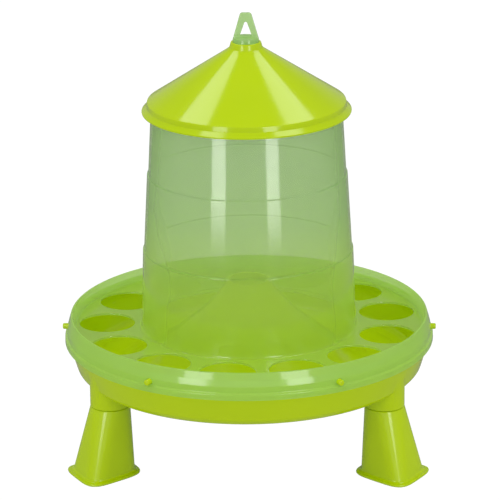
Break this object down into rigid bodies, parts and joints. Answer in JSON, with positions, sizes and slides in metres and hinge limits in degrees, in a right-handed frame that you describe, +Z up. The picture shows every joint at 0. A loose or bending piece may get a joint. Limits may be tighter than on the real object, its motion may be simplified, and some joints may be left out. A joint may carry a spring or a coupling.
{
  "type": "gravity game feeder",
  "caption": "Round gravity feeder for birds: a tapered hopper with a conical lid and hanging eye over a perforated feed ring and a pan on three legs.",
  "frame": {"origin": "on the feeder's upright axis, in the plane of the floor that its three feet stand on", "axes": "+Z up along the feeder's axis, -Y towards the front between the two front legs, +X to the right of someone who faces the front"},
  "size_m": [0.38, 0.3858, 0.4555],
  "materials": {
    "lime_plastic": "opaque lime green moulded plastic, satin to glossy",
    "pale_green_plastic": "translucent pale green moulded plastic, glossy"
  },
  "bodies": {
    "pan": {"pan": "lime_plastic"},
    "hopper": {"hopper": "pale_green_plastic", "feed_ring": "pale_green_plastic", "hanger": "pale_green_plastic"},
    "lid": {"lid": "lime_plastic"},
    "leg_left": {"leg_left": "lime_plastic"},
    "leg_right": {"leg_right": "lime_plastic"},
    "leg_rear": {"leg_rear": "lime_plastic"}
  },
  "joints": [
    {"name": "hopper_lift", "type": "slide", "parent": "pan", "child": "hopper", "axis": [0, 0, 1], "range_m": [0, 0.08]},
    {"name": "lid_lift", "type": "slide", "parent": "hopper", "child": "lid", "axis": [0, 0, 1], "range_m": [0, 0.12]},
    {"name": "leg_left_pull", "type": "slide", "parent": "pan", "child": "leg_left", "axis": [0, 0, -1], "range_m": [0, 0.03]},
    {"name": "leg_right_pull", "type": "slide", "parent": "pan", "child": "leg_right", "axis": [0, 0, -1], "range_m": [0, 0.03]},
    {"name": "leg_rear_pull", "type": "slide", "parent": "pan", "child": "leg_rear", "axis": [0, 0, -1], "range_m": [0, 0.03]}
  ]
}
